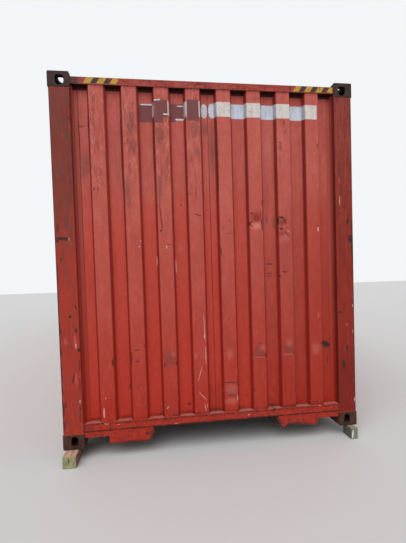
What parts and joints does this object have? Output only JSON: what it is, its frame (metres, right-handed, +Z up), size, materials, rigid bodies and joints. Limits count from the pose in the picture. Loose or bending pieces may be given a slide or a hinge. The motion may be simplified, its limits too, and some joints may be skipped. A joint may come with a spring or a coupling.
{
  "type": "shipping container",
  "caption": "Steel freight container with corrugated walls, corner castings, closed double doors at the rear and timber bearers under its corners.",
  "frame": {"origin": "middle of the footprint, on the ground under the timber bearers", "axes": "+Y along the container from the blind front end to the doors, +X across to the right seen from the front end, +Z up"},
  "size_m": [2.438, 12.392, 2.986],
  "materials": {
    "red_paint": "weathered, chalked red paint with rust at edges and dents",
    "rusty_casting": "rusty cast steel with worn dark paint",
    "underside_paint": "matt dark underbody coating",
    "plywood": "oiled plywood",
    "seal_rubber": "matt black",
    "galvanised": "dull galvanised steel, part painted",
    "treated_timber": "sawn softwood, greenish end grain",
    "grey_timber": "sawn softwood, weathered grey"
  },
  "bodies": {
    "root": {"front_wall": "red_paint", "front_header": "red_paint", "front_sill": "red_paint", "sill_skirts": "red_paint", "front_left_post": "red_paint", "front_right_post": "red_paint", "rear_left_post": "red_paint", "rear_right_post": "red_paint", "rear_header": "red_paint", "rear_sill": "red_paint", "rain_gutter": "red_paint", "side_wall_left": "red_paint", "side_wall_right": "red_paint", "top_side_rail_left": "red_paint", "top_side_rail_right": "red_paint", "bottom_side_rail_left": "red_paint", "bottom_side_rail_right": "red_paint", "roof_panel": "red_paint", "roof_front_plate": "red_paint", "roof_corner_plates": "red_paint", "door_left": "red_paint", "door_right": "red_paint", "door_hinges": "red_paint", "front_top_left_casting": "rusty_casting", "front_top_right_casting": "rusty_casting", "front_bottom_left_casting": "rusty_casting", "front_bottom_right_casting": "rusty_casting", "rear_top_left_casting": "rusty_casting", "rear_top_right_casting": "rusty_casting", "rear_bottom_left_casting": "rusty_casting", "rear_bottom_right_casting": "rusty_casting", "cross_members": "underside_paint", "gooseneck_tunnel": "underside_paint", "floor_boards": "plywood", "door_seals": "seal_rubber", "lock_rod_outer_left": "galvanised", "lock_rod_inner_left": "galvanised", "lock_rod_inner_right": "galvanised", "lock_rod_outer_right": "galvanised", "lock_rod_guides": "galvanised", "cam_keepers": "galvanised", "door_handles": "galvanised", "left_bearers": "treated_timber", "right_bearers": "grey_timber"}
  },
  "joints": []
}
